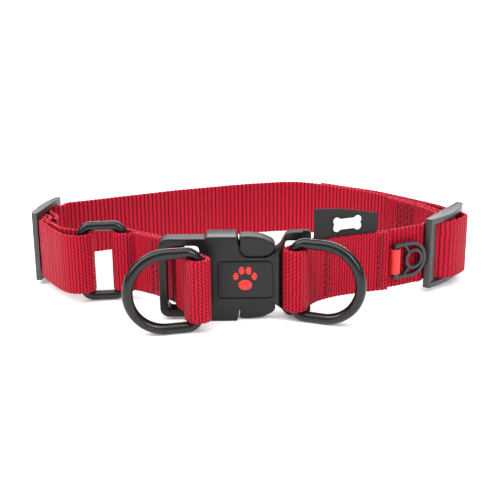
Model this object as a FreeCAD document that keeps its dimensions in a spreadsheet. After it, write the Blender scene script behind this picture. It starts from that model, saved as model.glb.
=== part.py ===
import FreeCAD
import Part
import math
import os
import Sketcher

os.makedirs("parts", exist_ok=True)
doc = FreeCAD.newDocument("martingale_collar")
Vector = FreeCAD.Vector

# ---- Driving dimensions, millimetres -------------------------------------------------------
sheet = doc.addObject("Spreadsheet::Sheet", "Sizes")
SIZES = [
    ("webbing_width", 25.0),
    ("webbing_thick", 1.7),
    ("webbing_low", 4.5),
    ("plan_x_mid", -1.03),
    ("plan_y_mid", 40.15),
    ("buckle_high", 34.5),
    ("buckle_half_thick", 5.5),
    ("cavity_half_thick", 3.5),
    ("cavity_low", 2.2),
    ("male_high", 32.0),
    ("male_low", 1.25),
    ("male_half_thick", 3.6),
    ("arm_half_thick", 2.8),
    ("ring_wire", 4.2),
    ("oval_wire", 4.0),
    ("glide_high", 30.0),
    ("glide_low", 2.0),
    ("glide_rail", 2.3),
    ("left_glide_length", 28.0),
    ("right_glide_length", 33.0),
    ("glide_bar_thick", 3.0),
    ("glide_end_bar", 4.2),
    ("glide_mid_bar", 2.6),
    ("tag_ring_thick", 1.8),
    ("tag_ring_bore", 3.2),
    ("label_thick", 0.4),
    ("label_high", 14.0),
    ("label_low", 25.2),
    ("ribbon_thick", 0.25),
    ("ribbon_width", 10.4),
    ("ribbon_low", 11.2),
    ("plate_wide", 21.2),
    ("plate_high", 14.4),
    ("plate_thick", 1.2),
    ("stitch_long", 1.9),
    ("stitch_thick", 0.5),
    ("stitch_pitch", 2.5),
]
for line, (word, value) in enumerate(SIZES, start=1):
    sheet.set("A%d" % line, word)
    sheet.set("B%d" % line, str(value))
    sheet.setAlias("B%d" % line, word)
doc.recompute()


def size(word):
    return float(sheet.get(word))


def bind(thing, prop, formula):
    thing.setExpression(prop, formula)


def at(x, y, z):
    """A plan point counted from the middle of the closed buckle, put in the part's frame."""
    return Vector(x - size("plan_x_mid"), y - size("plan_y_mid"), z)


# ---- Webbing: a flat band bent along a line in plan and standing on its edge ------------------
def band_face(points, thick):
    line = Part.BSplineCurve()
    line.interpolate([at(x, y, 0.0) for x, y in points])
    steps = int(line.length() / 1.1)
    first = line.FirstParameter
    last = line.LastParameter
    spots = []
    alongs = []
    for step in range(steps + 1):
        where = first + (last - first) * step / steps
        spots.append(line.value(where))
        alongs.append(line.tangent(where)[0])
    sides = [Vector(-way.y, way.x, 0.0) * (thick / 2.0) for way in alongs]
    edges = []
    # each side is a run of short smooth curves that meet tangentially
    for sign in (1.0, -1.0):
        for start in range(0, steps, 8):
            end = min(start + 8, steps)
            stretch = [spots[n] + sides[n] * sign for n in range(start, end + 1)]
            curve = Part.BSplineCurve()
            curve.interpolate(Points=stretch, InitialTangent=alongs[start], FinalTangent=alongs[end])
            edges.append(curve.toShape())
    edges.append(Part.makeLine(spots[0] + sides[0], spots[0] - sides[0]))
    edges.append(Part.makeLine(spots[-1] + sides[-1], spots[-1] - sides[-1]))
    wire = Part.Wire(Part.__sortEdges__(edges))
    return Part.Face(wire)


def band(name, points, thick="webbing_thick", low="webbing_low", high="webbing_width"):
    outline = doc.addObject("Part::Feature", name + "_outline")
    outline.Shape = band_face(points, size(thick))
    cloth = doc.addObject("Part::Extrusion", name)
    cloth.Base = outline
    cloth.DirMode = "Custom"
    cloth.Dir = Vector(0, 0, 1)
    cloth.Solid = True
    bind(cloth, "LengthFwd", "Sizes." + high)
    bind(cloth, ".Placement.Base.z", "Sizes." + low)
    cloth.Label = name
    return cloth


# ---- Sketch helpers ------------------------------------------------------------------------
def plane(body, role):
    for item in body.Origin.OriginFeatures:
        if item.Role == role:
            return item


def sketch_on(body, name, role):
    drawn = body.newObject("Sketcher::SketchObject", name)
    drawn.AttachmentSupport = [(plane(body, role), "")]
    drawn.MapMode = "FlatFace"
    return drawn


def draw_outline(drawn, points):
    """A closed outline of straight lines."""
    count = len(points)
    for step in range(count):
        start = Vector(points[step][0], points[step][1], 0)
        end = Vector(points[(step + 1) % count][0], points[(step + 1) % count][1], 0)
        drawn.addGeometry(Part.LineSegment(start, end), False)
    for step in range(count):
        drawn.addConstraint(Sketcher.Constraint("Coincident", step, 2, (step + 1) % count, 1))


def pad_both_ways(body, name, points, half_word):
    drawn = sketch_on(body, name + "_sketch", "XZ_Plane")
    draw_outline(drawn, points)
    pad = body.newObject("PartDesign::Pad", name)
    pad.Profile = drawn
    pad.Midplane = True
    bind(pad, "Length", "2 * Sizes." + half_word)
    doc.recompute()
    return pad


def cut_both_ways(body, name, points, half_word):
    drawn = sketch_on(body, name + "_sketch", "XZ_Plane")
    draw_outline(drawn, points)
    cut = body.newObject("PartDesign::Pocket", name)
    cut.Profile = drawn
    cut.Midplane = True
    if half_word == "":
        cut.Length = 60.0
    else:
        bind(cut, "Length", "2 * Sizes." + half_word)
    doc.recompute()
    return cut


def rectangle(x0, z0, x1, z1):
    return [(x0, z0), (x1, z0), (x1, z1), (x0, z1)]


def block(name, x0, x1, y0, y1, z0, z1):
    made = doc.addObject("Part::Box", name)
    made.Length = x1 - x0
    made.Width = y1 - y0
    made.Height = z1 - z0
    made.Placement.Base = Vector(x0, y0, z0)
    return made


def joined(name, pieces):
    made = doc.addObject("Part::MultiFuse", name)
    made.Shapes = pieces
    made.Refine = True
    return made


def less(name, base, tool):
    made = doc.addObject("Part::Cut", name)
    made.Base = base
    made.Tool = tool
    return made


KEPT = []


def keep(thing, node):
    thing.Label = node
    KEPT.append((node, thing))
    return thing


# ---- Female buckle: sleeve, waist and end frame in one moulding ------------------------------
high = size("buckle_high")
mid_z = high / 2.0
mouth = -17.0
upper = [
    (mouth, high - 0.6), (-16.4, high), (-6.0, high), (-5.1, high - 0.6), (-4.5, high - 3.0),
    (-3.9, high - 5.7), (-3.0, high - 7.5), (-1.6, high - 8.4), (0.5, high - 8.7), (6.0, high - 8.7),
    (8.6, high - 7.9), (10.6, high - 6.2), (12.2, high - 3.5), (13.6, high - 1.3), (15.4, high - 0.2),
    (17.0, high), (23.0, high), (23.9, high - 0.9),
]
lower = [(x, high - z) for x, z in reversed(upper)]
female = doc.addObject("PartDesign::Body", "FemaleBody")
pad_both_ways(female, "FemaleOutline", upper + lower, "buckle_half_thick")
cut_both_ways(female, "FemaleCavity", rectangle(mouth - 1, size("cavity_low"), 9.4, high - size("cavity_low")),
              "cavity_half_thick")
cut_both_ways(female, "FemaleWebbingSlot", rectangle(13.6, 3.4, 20.5, high - 3.4), "")
# the end frame is thinner than the sleeve and set back towards the neck side
thin = sketch_on(female, "FrameFront_sketch", "XY_Plane")
draw_outline(thin, [(11.0, -8.0), (11.0, -5.6), (14.2, 0.4), (26.0, 0.4), (26.0, -8.0)])
thin_cut = female.newObject("PartDesign::Pocket", "FrameFront")
thin_cut.Profile = thin
thin_cut.Midplane = True
thin_cut.Length = 90.0
doc.recompute()
back = sketch_on(female, "BarFront_sketch", "XY_Plane")
draw_outline(back, rectangle(20.4, 0.2, 26.0, 2.6))
back_cut = female.newObject("PartDesign::Pocket", "BarFront")
back_cut.Profile = back
back_cut.Midplane = True
back_cut.Length = 90.0
doc.recompute()
female.Placement.Base = at(0, 0, 0)
# shallow seat that the badge plate is set into
seat_wide = size("plate_wide") / 2.0 + 0.6
seat_high = size("plate_high") / 2.0 + 0.6
badge_x = -2.0
seat_tool = block("BadgeSeatTool", badge_x - seat_wide, badge_x + seat_wide, -9.0, -4.9,
                  mid_z - seat_high, mid_z + seat_high)
seat_tool.Placement.Base = seat_tool.Placement.Base + at(0, 0, 0)
keep(less("FemaleBuckle", female, seat_tool), "female_buckle")

# ---- Badge plate and its raised paw motif ---------------------------------------------------
plate = doc.addObject("Part::Box", "BadgeBlank")
bind(plate, "Length", "Sizes.plate_wide")
bind(plate, "Width", "Sizes.plate_thick")
bind(plate, "Height", "Sizes.plate_high")
plate.Placement.Base = at(badge_x - size("plate_wide") / 2.0, -6.12, mid_z - size("plate_high") / 2.0)
doc.recompute()
rounded = doc.addObject("Part::Fillet", "BadgePlate")
rounded.Base = plate
corners = []
for number, edge in enumerate(plate.Shape.Edges, start=1):
    ends = [v.Point for v in edge.Vertexes]
    if abs(ends[0].y - ends[1].y) > 0.5:
        corners.append((number, 1.5, 1.5))
rounded.Edges = corners
keep(rounded, "badge_plate")

toes = [(-3.5, 1.2, 1.15), (-1.3, 3.6, 1.25), (1.3, 3.6, 1.25), (3.5, 1.2, 1.15)]
paw = []
for number, (dx, dz, radius) in enumerate(toes):
    toe = doc.addObject("Part::Cylinder", "Toe%d" % number)
    toe.Radius = radius
    toe.Height = 0.3
    toe.Placement = FreeCAD.Placement(at(badge_x + dx, -6.14, mid_z + dz), FreeCAD.Rotation(Vector(1, 0, 0), 90))
    paw.append(toe)
heel = doc.addObject("Part::Cylinder", "HeelPad")
heel.Radius = 2.3
heel.Height = 0.3
heel.Placement = FreeCAD.Placement(at(badge_x, -6.14, mid_z - 2.2), FreeCAD.Rotation(Vector(1, 0, 0), 90))
paw.append(heel)
motif = doc.addObject("Part::Compound", "BadgeMotif")
motif.Links = paw
keep(motif, "badge_motif")

# ---- Male buckle: strap frame, front wall and the blade that guides it into the sleeve ---------
male = doc.addObject("PartDesign::Body", "MaleBody")
low = size("male_low")
top = low + size("male_high")
frame_line = [
    (-35.5, low + 1.6), (-34.9, low + 0.5), (-33.9, low), (-17.3, low), (-17.3, top),
    (-33.9, top), (-34.9, top - 0.5), (-35.5, top - 1.6),
]
pad_both_ways(male, "MaleOutline", frame_line, "male_half_thick")
cut_both_ways(male, "MaleSlot", rectangle(-32.3, low + 2.9, -19.7, top - 2.9), "")
blade = sketch_on(male, "GuideBlade_sketch", "XZ_Plane")
draw_outline(blade, [(-18.0, mid_z - 2.4), (-5.0, mid_z - 2.0), (-4.2, mid_z - 1.2), (-4.2, mid_z + 1.2),
                     (-5.0, mid_z + 2.0), (-18.0, mid_z + 2.4)])
blade_pad = male.newObject("PartDesign::Pad", "GuideBlade")
blade_pad.Profile = blade
blade_pad.Midplane = True
blade_pad.Length = 2.4
male.Placement.Base = at(0, 0, 0)
keep(male, "male_buckle")

# ---- Two sprung release arms ------------------------------------------------------------------
# root, outer beam, catch and thumb pad, tip, inner edge; z is counted up from the buckle's middle
arm_line = [
    (-17.0, 9.0), (-16.8, 8.6), (-9.0, 8.9), (-3.0, 8.2), (4.0, 7.9), (8.2, 9.2), (9.5, 11.2), (9.6, 12.6),
    (8.6, 14.2), (4.7, 16.0), (1.5, 16.8), (-2.0, 16.9), (-4.0, 16.7), (-4.2, 14.6), (-4.6, 12.8), (-9.0, 12.2),
    (-14.5, 11.9), (-16.8, 11.5), (-17.0, 11.1),
]


def arm(name, node, side):
    body = doc.addObject("PartDesign::Body", name + "Body")
    pad_both_ways(body, name + "Pad", [(x, mid_z + side * z) for x, z in arm_line], "arm_half_thick")
    body.Placement.Base = at(0, 0, 0)
    return keep(body, node)


arm("UpperArm", "upper_release_arm", 1.0)
arm("LowerArm", "lower_release_arm", -1.0)


# ---- Rings: a round wire swept along a closed line ---------------------------------------------
def ring_body(name, node, half_high, corner, length, wire_word, round_nose, place):
    body = doc.addObject("PartDesign::Body", name + "Body")
    path = sketch_on(body, name + "Path", "XZ_Plane")
    v = Vector
    straight = half_high - corner
    up = v(0, 0, 1)
    path.addGeometry(Part.LineSegment(v(0, -straight, 0), v(0, straight, 0)), False)
    path.addGeometry(Part.ArcOfCircle(Part.Circle(v(corner, straight, 0), up, corner), math.pi / 2, math.pi), False)
    if round_nose:
        nose = length - half_high
        path.addGeometry(Part.LineSegment(v(corner, half_high, 0), v(nose, half_high, 0)), False)
        path.addGeometry(
            Part.ArcOfCircle(Part.Circle(v(nose, 0, 0), up, half_high), -math.pi / 2, math.pi / 2), False)
        path.addGeometry(Part.LineSegment(v(nose, -half_high, 0), v(corner, -half_high, 0)), False)
    else:
        far = length - corner
        path.addGeometry(Part.LineSegment(v(corner, half_high, 0), v(far, half_high, 0)), False)
        path.addGeometry(Part.ArcOfCircle(Part.Circle(v(far, straight, 0), up, corner), 0, math.pi / 2), False)
        path.addGeometry(Part.LineSegment(v(length, straight, 0), v(length, -straight, 0)), False)
        path.addGeometry(Part.ArcOfCircle(Part.Circle(v(far, -straight, 0), up, corner), -math.pi / 2, 0), False)
        path.addGeometry(Part.LineSegment(v(far, -half_high, 0), v(corner, -half_high, 0)), False)
    path.addGeometry(
        Part.ArcOfCircle(Part.Circle(v(corner, -straight, 0), up, corner), math.pi, 1.5 * math.pi), False)
    section = sketch_on(body, name + "Section", "XY_Plane")
    section.addGeometry(Part.Circle(v(0, 0, 0), up, 1.0), False)
    section.addConstraint(Sketcher.Constraint("Coincident", 0, 3, -1, 1))
    bar = section.addConstraint(Sketcher.Constraint("Radius", 0, 1.0))
    bind(section, "Constraints[%d]" % bar, "Sizes.%s / 2" % wire_word)
    doc.recompute()
    sweep = body.newObject("PartDesign::AdditivePipe", name + "Sweep")
    sweep.Profile = section
    sweep.Spine = (path, ["Edge%d" % (n + 1) for n in range(path.GeometryCount)])
    doc.recompute()
    body.Placement = place
    return keep(body, node)


def upright(x, y, z, turn):
    return FreeCAD.Placement(at(x, y, z), FreeCAD.Rotation(Vector(0, 0, 1), turn))


left_bar = (-19.6, -15.2)
right_bar = (17.0, -4.2)
ring_mid = 17.0
ring_body("LeftDRing", "left_d_ring", 14.9, 4.6, 26.9, "ring_wire", True,
          upright(left_bar[0], left_bar[1], ring_mid, 193.0))
ring_body("RightDRing", "right_d_ring", 14.9, 4.6, 26.9, "ring_wire", True,
          upright(right_bar[0], right_bar[1], ring_mid, -22.0))
oval_bar = (-68.6, 19.3)
oval_turn = 7.0
oval_reach = 16.6
ring_body("OvalRing", "oval_ring", 14.9, 4.0, oval_reach, "oval_wire", False,
          upright(oval_bar[0], oval_bar[1], ring_mid, oval_turn))
oval_far = (oval_bar[0] + oval_reach * math.cos(math.radians(oval_turn)),
            oval_bar[1] + oval_reach * math.sin(math.radians(oval_turn)))


# ---- Three-bar slider: two bowed side rails and three bars ------------------------------------
def glide(name, node, x, y, turn, length_word):
    """Local X runs along the strap, local Y points out of the collar, Z is up."""
    half = size(length_word) / 2.0
    thick = size("glide_bar_thick") / 2.0
    rail = size("glide_rail")
    full = size("glide_high")
    end_bar = size("glide_end_bar")
    mid_bar = size("glide_mid_bar") / 2.0
    rails = []
    bow = [(-half, -thick), (half, -thick), (half, thick)]
    for step in range(1, 12):
        share = step / 12.0
        bow.append((half - 2 * half * share, thick + 2.6 * math.sin(math.pi * share)))
    bow.append((-half, thick))
    for z in (0.0, full - rail):
        wire = Part.makePolygon([Vector(a, b, z) for a, b in bow] + [Vector(bow[0][0], bow[0][1], z)])
        face = doc.addObject("Part::Feature", "%sRailLine%d" % (name, int(z)))
        face.Shape = Part.Face(wire)
        side = doc.addObject("Part::Extrusion", "%sRail%d" % (name, int(z)))
        side.Base = face
        side.DirMode = "Custom"
        side.Dir = Vector(0, 0, 1)
        side.Solid = True
        bind(side, "LengthFwd", "Sizes.glide_rail")
        rails.append(side)
    near = block(name + "NearBar", -half, -half + end_bar, -thick, thick, 0, full)
    middle = block(name + "MiddleBar", -mid_bar, mid_bar, 0.0, 2.0, 0.5, full - 0.5)
    far = block(name + "FarBar", half - end_bar, half, -thick, thick, 0, full)
    for bar in (near, far):
        bind(bar, "Height", "Sizes.glide_high")
    whole = joined(name, rails + [near, middle, far])
    whole.Placement = upright(x, y, size("glide_low"), turn)
    return keep(whole, node)


def from_glide(centre, turn, points):
    """Slider points (along the strap, out of the collar) turned into plan points."""
    angle = math.radians(turn)
    ax, ay = math.cos(angle), math.sin(angle)
    return [(centre[0] + u * ax - n * ay, centre[1] + u * ay + n * ax) for u, n in points]


left_glide = (-89.0, 53.0)
left_turn = 79.0
right_glide = (83.0, 39.6)
right_turn = 236.5
glide("LeftGlide", "left_slider", left_glide[0], left_glide[1], left_turn, "left_glide_length")
glide("RightGlide", "right_slider", right_glide[0], right_glide[1], right_turn,
      "right_glide_length")

# ---- Main strap: back of the collar, left loop and the end sewn round each slider ----------------
# Lines counted in slider points: along the slider, then out of the collar.
over_left = [(-14.6, -3.1), (-12.3, -3.25), (-9.9, -3.1), (-8.4, -1.4), (-7.1, 1.0), (-5.2, 3.5), (-2.6, 5.2),
             (0.0, 5.7), (2.8, 5.3), (5.4, 3.6), (7.3, 1.0), (8.4, -1.5), (9.9, -3.1)]
over_right = [(16.9, -3.3), (14.6, -3.4), (12.0, -3.2), (10.5, -1.3), (9.2, 1.4), (7.2, 4.2), (4.0, 6.0),
              (0.0, 6.8), (-4.0, 7.1), (-7.6, 6.5), (-9.8, 4.4), (-10.6, 1.6), (-10.9, -1.0), (-11.9, -3.3),
              (-13.9, -5.8)]
round_bar = [(-5.0, -0.4), (-3.5, 1.9), (-1.8, 3.2), (0.0, 3.65), (1.87, 2.87), (2.65, 1.0), (1.87, -0.87),
             (0.0, -1.65)]
back_left = [(-14.8, 94.85), (-20.0, 93.0), (-34.0, 88.0), (-47.0, 82.6), (-57.0, 78.2), (-66.0, 74.0),
             (-73.5, 70.4), (-79.3, 67.9), (-82.9, 65.6)]
loop_outer = [(-88.0, 36.0), (-84.3, 29.2), (-80.1, 22.8), (-76.8, 18.2), (-73.2, 15.2), (-70.0, 14.6),
              (-66.8, 15.5), (-65.0, 17.4), (-64.5, 19.8), (-65.4, 22.3), (-67.8, 23.6), (-71.8, 24.2),
              (-76.4, 25.8), (-80.0, 29.2), (-83.4, 34.4)]
left_end = [(-14.6, -5.7), (-11.5, -5.7), (-8.6, -5.1), (-6.6, -2.9)]
left_stub = [(-2.2, -3.2), (-5.2, -6.3), (-8.8, -8.0), (-12.2, -8.2)]
main_left = (back_left + from_glide(left_glide, left_turn, list(reversed(over_left))) + loop_outer
             + from_glide(left_glide, left_turn, left_end + round_bar + left_stub))
keep(band("LeftMainStrap", main_left), "left_main_strap")

mid_back = [(-14.2, 95.05), (-11.0, 96.15), (-7.5, 97.3), (-4.3, 98.25)]
keep(band("MiddleBackStrap", mid_back), "middle_back_strap")

back_right = [(-3.7, 98.42), (1.0, 99.7), (7.5, 101.2), (13.5, 102.4), (19.5, 102.8), (25.0, 102.2),
              (29.0, 100.9), (34.0, 98.3), (38.0, 95.8), (43.6, 91.9), (51.0, 86.6), (57.5, 81.0),
              (64.9, 73.6), (72.9, 65.2), (78.3, 57.8)]
right_wrap = [(-9.4, -8.4), (-7.1, -4.4)] + round_bar + [(-2.0, -3.2), (-4.4, -6.2), (-6.9, -10.0)]
stub_right = [(76.3, 55.8), (71.2, 63.6), (66.6, 68.7), (63.3, 72.0)]
main_right = back_right + from_glide(right_glide, right_turn, right_wrap) + stub_right
keep(band("RightMainStrap", main_right), "right_main_strap")

# ---- Running strap: folded round the ring and the buckle, through the right slider, to its tail --------
front_fold = [(56.1, 17.3), (52.0, 16.1), (48.0, 14.9), (41.8, 12.7), (36.0, 10.4), (31.0, 7.6), (28.0, 5.6),
              (25.4, 3.1), (23.5, 0.6), (21.7, -2.2), (20.9, -6.2), (17.9, -8.1), (14.4, -6.9), (13.55, -4.2),
              (14.6, -1.6), (16.7, 0.9), (18.6, 4.9), (20.5, 7.6), (24.3, 8.5), (29.8, 10.1), (35.0, 12.8),
              (41.0, 15.2), (47.2, 17.4), (55.0, 19.7), (60.3, 21.9), (66.0, 24.9), (69.0, 26.5)]
tail = [(83.8, 57.9), (76.4, 66.1), (67.2, 76.0), (59.6, 83.5), (52.5, 88.8), (44.9, 93.8), (39.1, 97.5),
        (35.0, 100.1)]
running = front_fold + from_glide(right_glide, right_turn, over_right) + tail
keep(band("RunningStrap", running), "running_strap")


def beside(points, gap):
    """The same line moved sideways, to its left when gap is positive."""
    moved = []
    for step, (x, y) in enumerate(points):
        x0, y0 = points[max(step - 1, 0)]
        x1, y1 = points[min(step + 1, len(points) - 1)]
        long = math.hypot(x1 - x0, y1 - y0)
        moved.append((x - (y1 - y0) / long * gap, y + (x1 - x0) / long * gap))
    return moved


# ---- Control strap: doubled, from the oval ring through the male buckle to the leash ring ----------
control_line = [(-46.4, 19.4), (-43.8, 18.0), (-41.0, 16.1), (-36.8, 12.8), (-33.2, 9.4), (-30.2, 6.3), (-28.2, 3.6), (-27.35, 1.6),
                (-27.3, 0.15)]
ring_turn = [(-48.8, 23.4), (-52.4, 25.2), (-55.1, 23.6), (-55.9, 21.0), (-54.5, 18.5), (-51.9, 17.6), (-49.4, 17.8)]
control = list(reversed(beside(control_line, 1.05))) + ring_turn + beside(control_line, -1.05)
keep(band("ControlStrap", control), "control_strap")
pocket = [(-28.35, -0.15), (-28.3, -1.3), (-27.75, -2.9), (-26.5, -4.7), (-25.35, -6.8), (-24.75, -9.6),
          (-24.5, -12.6), (-23.95, -15.9), (-21.8, -18.7), (-18.9, -19.25), (-16.5, -17.8), (-15.75, -14.9),
          (-17.1, -12.2), (-20.2, -8.6), (-23.4, -5.0), (-25.8, -2.4), (-26.25, -0.15)]
keep(band("LeashRingPocket", pocket), "leash_ring_pocket")

# ---- Folded label caught in the seam, and the ribbon that holds the tag ring ----------------------
label_line = [(25.2, 5.6), (28.0, 7.2), (30.5, 8.65), (35.6, 11.4), (41.45, 13.83), (47.6, 16.04), (51.2, 17.15)]
keep(band("Label", label_line, "label_thick", "label_low", "label_high"), "label")
bone = []
for number, (along, z) in enumerate([(-3.4, 0.9), (-3.4, -0.9), (3.4, 0.9), (3.4, -0.9)]):
    knob = doc.addObject("Part::Cylinder", "BoneKnob%d" % number)
    knob.Radius = 1.15
    knob.Height = 0.2
    knob.Placement = FreeCAD.Placement(Vector(along, 0, z), FreeCAD.Rotation(Vector(1, 0, 0), 90))
    bone.append(knob)
bone.append(block("BoneShaft", -3.4, 3.4, -0.2, 0.0, -0.75, 0.75))
mark = joined("LabelMotif", bone)
mark.Placement = upright(38.7, 12.12, 34.6, 22.0)
keep(mark, "label_motif")
ribbon_line = [(53.5, 17.7), (56.3, 18.3), (57.2, 17.6), (58.1, 16.6), (59.6, 16.3), (61.1, 17.3), (61.35, 18.9),
               (60.4, 20.0), (58.9, 19.95), (57.8, 19.1)]
keep(band("TagRibbon", ribbon_line, "ribbon_thick", "ribbon_low", "ribbon_width"), "tag_ribbon")

# ---- Flat tag ring: a D with a round eye held by two struts ---------------------------------------
eye_x = 9.0
nose_x = 7.4


def d_plate(name, bar_x, half):
    wire_points = [Vector(bar_x, 0, -half), Vector(nose_x, 0, -half)]
    arc = Part.Arc(Vector(nose_x, 0, -half), Vector(nose_x + half, 0, 0), Vector(nose_x, 0, half)).toShape()
    lower_edge = Part.makeLine(wire_points[0], wire_points[1])
    upper_edge = Part.makeLine(Vector(nose_x, 0, half), Vector(bar_x, 0, half))
    closing = Part.makeLine(Vector(bar_x, 0, half), wire_points[0])
    face = doc.addObject("Part::Feature", name + "Line")
    face.Shape = Part.Face(Part.Wire([lower_edge, arc, upper_edge, closing]))
    solid = doc.addObject("Part::Extrusion", name)
    solid.Base = face
    solid.DirMode = "Custom"
    solid.Dir = Vector(0, 1, 0)
    solid.Solid = True
    solid.Symmetric = True
    bind(solid, "LengthFwd", "Sizes.tag_ring_thick")
    return solid


def eye_disc(name, radius_word, extra):
    disc = doc.addObject("Part::Cylinder", name)
    bind(disc, "Radius", "Sizes.tag_ring_bore + %s" % radius_word)
    bind(disc, "Height", "Sizes.tag_ring_thick + %s" % extra)
    half = (size("tag_ring_thick") + float(extra)) / 2.0
    disc.Placement = FreeCAD.Placement(Vector(eye_x, half, 0), FreeCAD.Rotation(Vector(1, 0, 0), 90))
    return disc


outer_d = d_plate("TagOuter", -1.0, 7.6)
inner_d = d_plate("TagInner", 1.0, 5.7)
hoop = less("TagHoop", outer_d, inner_d)
boss = eye_disc("TagBoss", "1.6", "0.0")
struts = []
for number, side in enumerate((1, -1)):
    strut = doc.addObject("Part::Box", "TagStrut%d" % number)
    strut.Length = 4.4
    strut.Height = 1.5
    bind(strut, "Width", "Sizes.tag_ring_thick")
    lean = 180 - side * 53
    base = FreeCAD.Rotation(Vector(0, 1, 0), -lean)
    start = Vector(eye_x, -size("tag_ring_thick") / 2.0, 0) + base.multVec(Vector(3.6, 0, -0.75))
    strut.Placement = FreeCAD.Placement(start, base)
    struts.append(strut)
plate_all = joined("TagPlate", [hoop, boss] + struts)
tag = less("TagRing", plate_all, eye_disc("TagEye", "0.0", "2.0"))
tag.Placement = upright(59.4, 18.2, 16.4, 27.3)
keep(tag, "tag_ring")


# ---- Stitch rows: short raised threads lying on the webbing ------------------------------------------
def stitch_rows(name, node, points, spots, side, count=9, first=7.0):
    line = Part.BSplineCurve()
    line.interpolate([at(x, y, 0.0) for x, y in points])
    threads = []
    for row, (x, y) in enumerate(spots):
        where = line.parameter(at(x, y, 0.0))
        spot = line.value(where)
        along = line.tangent(where)[0]
        turn = math.degrees(math.atan2(along.y, along.x))
        out = Vector(-along.y, along.x, 0).normalize() * side
        face = spot + out * (size("webbing_thick") / 2.0 + 0.05)
        for step in range(count):
            thread = doc.addObject("Part::Box", "%s_%d_%d" % (name, row, step))
            bind(thread, "Length", "Sizes.stitch_thick")
            thread.Width = 0.2
            bind(thread, "Height", "Sizes.stitch_long")
            corner = Vector(-size("stitch_thick") / 2.0, 0.0 if side > 0 else -0.2, 0)
            spin = FreeCAD.Rotation(Vector(0, 0, 1), turn)
            base = face + spin.multVec(corner)
            base.z = first + step * size("stitch_pitch") - size("stitch_long") / 2.0
            thread.Placement = FreeCAD.Placement(base, spin)
            threads.append(thread)
    rows = doc.addObject("Part::Compound", name)
    rows.Links = threads
    return keep(rows, node)


stitch_rows("FoldStitches", "front_fold_stitches", running, [(29.4, 6.6), (52.0, 16.1), (53.6, 16.6)], 1)
stitch_rows("ControlStitches", "control_strap_stitches", control, [(-49.6, 18.3), (-38.6, 13.3), (-36.9, 12.0)], -1)
stitch_rows("StubStitches", "right_stub_stitches", main_right, [(72.4, 62.2), (68.8, 66.4)], 1)

# ---- Check every piece and write it ----------------------------------------------------------------
doc.recompute()
for thing in doc.Objects:
    if "Invalid" in thing.State or "Error" in thing.State:
        raise RuntimeError("%s did not build" % thing.Name)
for node, thing in KEPT:
    shape = thing.Shape
    if shape.isNull() or not shape.isValid() or len(shape.Solids) < 1:
        raise RuntimeError("%s has no sound solid" % node)
    shape.exportStep("parts/%s.step" % node)
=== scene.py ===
import bpy
import bmesh
import math
import numpy as np
from mathutils import Matrix, Vector


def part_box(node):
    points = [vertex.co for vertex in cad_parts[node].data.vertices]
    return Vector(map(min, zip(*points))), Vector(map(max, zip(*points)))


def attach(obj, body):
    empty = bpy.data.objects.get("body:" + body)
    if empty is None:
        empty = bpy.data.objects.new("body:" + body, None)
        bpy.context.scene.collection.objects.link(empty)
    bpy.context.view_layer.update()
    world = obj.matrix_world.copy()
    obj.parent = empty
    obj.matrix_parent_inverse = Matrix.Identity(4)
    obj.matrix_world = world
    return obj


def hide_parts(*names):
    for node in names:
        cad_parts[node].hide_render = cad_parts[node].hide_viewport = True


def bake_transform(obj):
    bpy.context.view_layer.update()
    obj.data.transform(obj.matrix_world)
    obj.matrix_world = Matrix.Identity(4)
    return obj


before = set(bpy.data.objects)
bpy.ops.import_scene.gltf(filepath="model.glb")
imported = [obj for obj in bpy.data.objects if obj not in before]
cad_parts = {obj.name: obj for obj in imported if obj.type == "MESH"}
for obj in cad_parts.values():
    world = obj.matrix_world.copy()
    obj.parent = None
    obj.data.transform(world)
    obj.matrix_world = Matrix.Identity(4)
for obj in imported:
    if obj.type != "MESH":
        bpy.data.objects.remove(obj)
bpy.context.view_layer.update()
# The buckle's middle, on the table, is where every plan size in millimetres is counted from.
buckle_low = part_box("female_buckle")[0]
buckle_middle = Vector((buckle_low.x + 0.0170, buckle_low.y + 0.0055, 0.0))


# ---- Female buckle -------------------------------------------------------------------------
# One nylon moulding: a sleeve that takes the release arms, a narrow waist and an open end frame
# that the webbing folds round. Near-black satin, fine spark texture, all edges softly rounded.
def plan(x, y, z):
    return buckle_middle + Vector((x, y, z)) / 1000.0


def moulded(name, colour, rough, grain, depth, shine=0.5):
    """Plastic or coated metal with a fine grain, in one colour."""
    made = bpy.data.materials.new(name)
    made.use_nodes = True
    nodes = made.node_tree.nodes
    links = made.node_tree.links
    skin = nodes["Principled BSDF"]
    skin.inputs["Base Color"].default_value = (*colour, 1.0)
    skin.inputs["Roughness"].default_value = rough
    skin.inputs["Specular IOR Level"].default_value = shine
    place = nodes.new("ShaderNodeTexCoord")
    speck = nodes.new("ShaderNodeTexNoise")
    speck.inputs["Scale"].default_value = grain
    speck.inputs["Detail"].default_value = 2.0
    bump = nodes.new("ShaderNodeBump")
    bump.inputs["Strength"].default_value = 0.35
    bump.inputs["Distance"].default_value = depth
    links.new(place.outputs["Object"], speck.inputs["Vector"])
    links.new(speck.outputs["Fac"], bump.inputs["Height"])
    links.new(bump.outputs["Normal"], skin.inputs["Normal"])
    return made


def added(name, mesh, *finishes):
    """Puts a finished mesh in the scene, with its materials."""
    for finish in finishes:
        mesh.materials.append(finish)
    made = bpy.data.objects.new(name, mesh)
    bpy.context.scene.collection.objects.link(made)
    return made


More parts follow.
